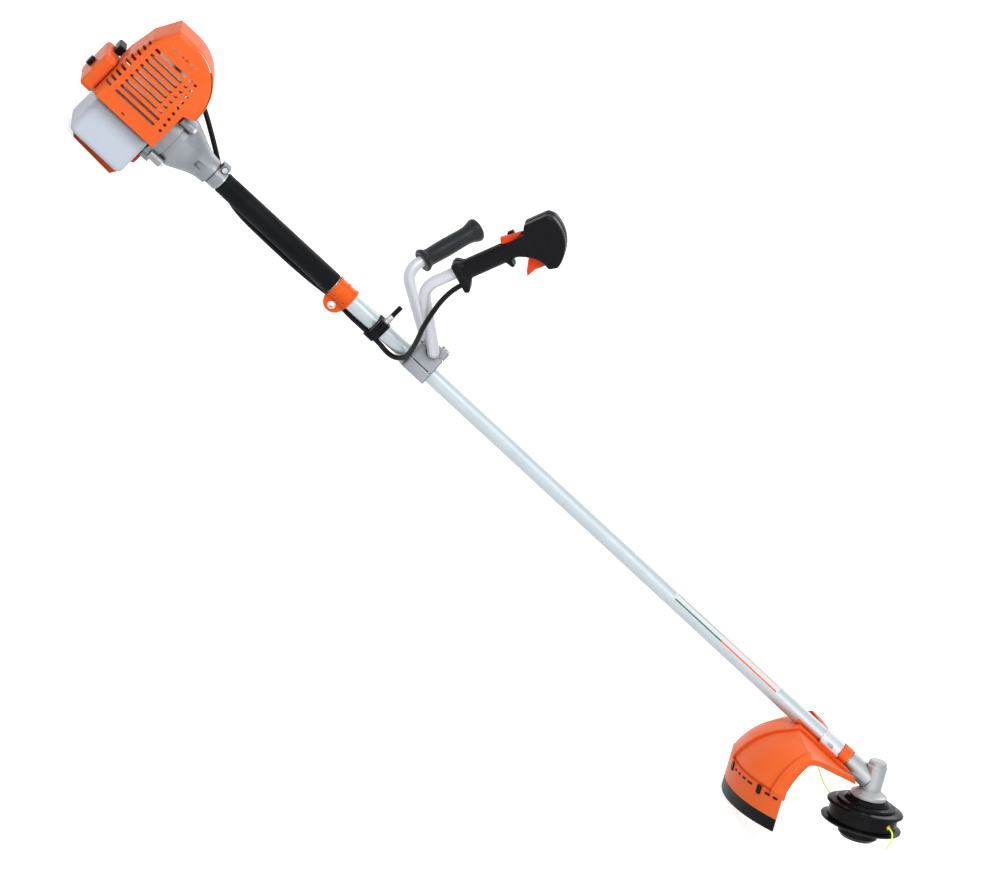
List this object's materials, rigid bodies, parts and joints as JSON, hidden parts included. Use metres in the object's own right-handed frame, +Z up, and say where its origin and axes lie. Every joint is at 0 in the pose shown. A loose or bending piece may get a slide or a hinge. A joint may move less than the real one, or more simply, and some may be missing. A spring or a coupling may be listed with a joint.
{
  "type": "string trimmer",
  "caption": "Straight-shaft petrol string trimmer with bike handlebars, slotted orange engine cover, guard and bump head.",
  "frame": {"origin": "centre of the harness eye's bore", "axes": "+X along the machine from engine to head, level with the floor it lies on; +Y to the user's left, along the eye's bore; +Z up"},
  "size_m": [1.7751, 0.3874, 0.4757],
  "materials": {
    "shaft_silver": "satin silver enamel",
    "bar_silver": "pale silver enamel",
    "cast_grey": "as-cast grey, fine grain",
    "machined_steel": "turned steel",
    "light_alloy": "die-cast",
    "muffler_steel": "pressed steel, heat tinted",
    "plate_white": "white-plated steel",
    "orange_plastic": "moulded orange, semi-gloss",
    "clamp_orange": "moulded deep orange",
    "trigger_orange": "moulded red-orange",
    "tank_white": "blow-moulded, milky",
    "black_plastic": "moulded black, fine texture",
    "head_black": "moulded black, glossy",
    "foam_black": "foam rubber",
    "grip_rubber": "soft grip",
    "conduit_sleeve": "black sleeve",
    "line_green": "nylon line",
    "eyelet_brass": "pressed brass",
    "plug_ceramic": "ceramic and steel"
  },
  "bodies": {
    "frame": {"shaft_tube": "shaft_silver", "handlebar": "bar_silver", "clutch_housing": "cast_grey", "crankcase": "cast_grey", "gear_case": "cast_grey", "clamp_lower": "cast_grey", "clamp_body": "cast_grey", "clamp_cap": "cast_grey", "cylinder": "cast_grey", "crankshaft": "machined_steel", "connecting_rod": "machined_steel", "ball_bearings": "machined_steel", "clutch_shoes": "machined_steel", "line_cutter": "machined_steel", "frame_screws": "machined_steel", "harness_eyelet": "machined_steel", "adjuster_ferrule": "machined_steel", "piston": "light_alloy", "flywheel": "light_alloy", "carburettor": "light_alloy", "muffler": "muffler_steel", "guard_bracket": "plate_white", "engine_cover": "orange_plastic", "starter_housing": "orange_plastic", "tank_foot": "orange_plastic", "guard": "orange_plastic", "guard_extension": "orange_plastic", "harness_clamp": "clamp_orange", "fuel_tank": "tank_white", "throttle_shell_right": "black_plastic", "throttle_shell_left": "black_plastic", "cable_strap": "black_plastic", "cable_adjuster": "black_plastic", "air_filter_cover": "black_plastic", "shaft_bushings": "black_plastic", "guard_skirt": "black_plastic", "hip_sleeve": "foam_black", "left_grip": "grip_rubber", "throttle_conduit": "conduit_sleeve", "spark_plug": "plug_ceramic"},
    "head": {"crown_gear": "machined_steel", "spindle": "machined_steel", "head_housing": "head_black", "head_cover": "head_black", "line_eyelets": "eyelet_brass", "line_long": "line_green", "line_short": "line_green"},
    "drive": {"drive_shaft": "machined_steel", "clutch_drum": "machined_steel", "pinion": "machined_steel"},
    "bump": {"bump_knob": "head_black", "line_spool": "head_black"},
    "trigger": {"throttle_trigger": "trigger_orange"},
    "lockout": {"throttle_lockout": "trigger_orange"},
    "switch": {"stop_switch": "black_plastic"},
    "arm": {"throttle_arm": "machined_steel"},
    "pull": {"starter_handle": "black_plastic"},
    "pulley": {"starter_pulley": "black_plastic"},
    "cap": {"fuel_cap": "trigger_orange"},
    "choke": {"choke_lever": "black_plastic"}
  },
  "joints": [
    {"name": "head_spin", "type": "hinge", "parent": "frame", "child": "head", "pos_m": [1.14062, 0, 0.0779], "axis": [-0.5099, 0, 0.8603], "continuous": true},
    {"name": "drive_spin", "type": "hinge", "parent": "frame", "child": "drive", "pos_m": [-0.00116, 0, 0.02497], "axis": [0.9989, 0, 0.0463], "continuous": true},
    {"name": "bump_press", "type": "slide", "parent": "head", "child": "bump", "axis": [-0.5099, 0, 0.8603], "range_m": [0, 0.006], "stiffness_N_per_m": 900, "springref_m": -0.008},
    {"name": "trigger_pull", "type": "hinge", "parent": "frame", "child": "trigger", "pos_m": [0.14907, -0.11693, 0.32319], "axis": [-0.0067, 0.9894, 0.1451], "range_deg": [0, 18], "stiffness_Nm_per_rad": 0.3, "springref_deg": -17.19},
    {"name": "lockout_press", "type": "hinge", "parent": "frame", "child": "lockout", "pos_m": [0.10194, -0.11566, 0.31237], "axis": [0.0067, -0.9894, -0.1451], "range_deg": [0, 6], "stiffness_Nm_per_rad": 0.3, "springref_deg": -17.19},
    {"name": "switch_slide", "type": "slide", "parent": "frame", "child": "switch", "axis": [0.2879, -0.137, 0.9478], "range_m": [0, 0.005]},
    {"name": "throttle_arm_turn", "type": "hinge", "parent": "frame", "child": "arm", "pos_m": [-0.41758, 0.058, 0.06774], "axis": [0.9989, 0, 0.0463], "range_deg": [0, 60]},
    {"name": "starter_pull", "type": "slide", "parent": "frame", "child": "pull", "axis": [-0.0463, 0, 0.9989], "range_m": [0, 0.5], "stiffness_N_per_m": 6, "springref_m": -0.4},
    {"name": "pulley_turn", "type": "hinge", "parent": "frame", "child": "pulley", "pos_m": [-0.53558, 0, 0.0002], "axis": [0.9989, 0, 0.0463], "range_deg": [0, 1199.7]},
    {"name": "cap_turn", "type": "hinge", "parent": "frame", "child": "cap", "pos_m": [-0.38768, 0.032, -0.05901], "axis": [0.9989, 0, 0.0463], "range_deg": [0, 540]},
    {"name": "choke_turn", "type": "hinge", "parent": "frame", "child": "choke", "pos_m": [-0.39896, 0.086, 0.05459], "axis": [0.9989, 0, 0.0463], "range_deg": [0, 55]}
  ],
  "couplings": [
    {"joint": "drive_spin", "follows": "head_spin", "ratio": 1.3571},
    {"joint": "throttle_arm_turn", "follows": "trigger_pull", "ratio": 3.3333},
    {"joint": "pulley_turn", "follows": "starter_pull", "rad_per_m": 41.667}
  ]
}
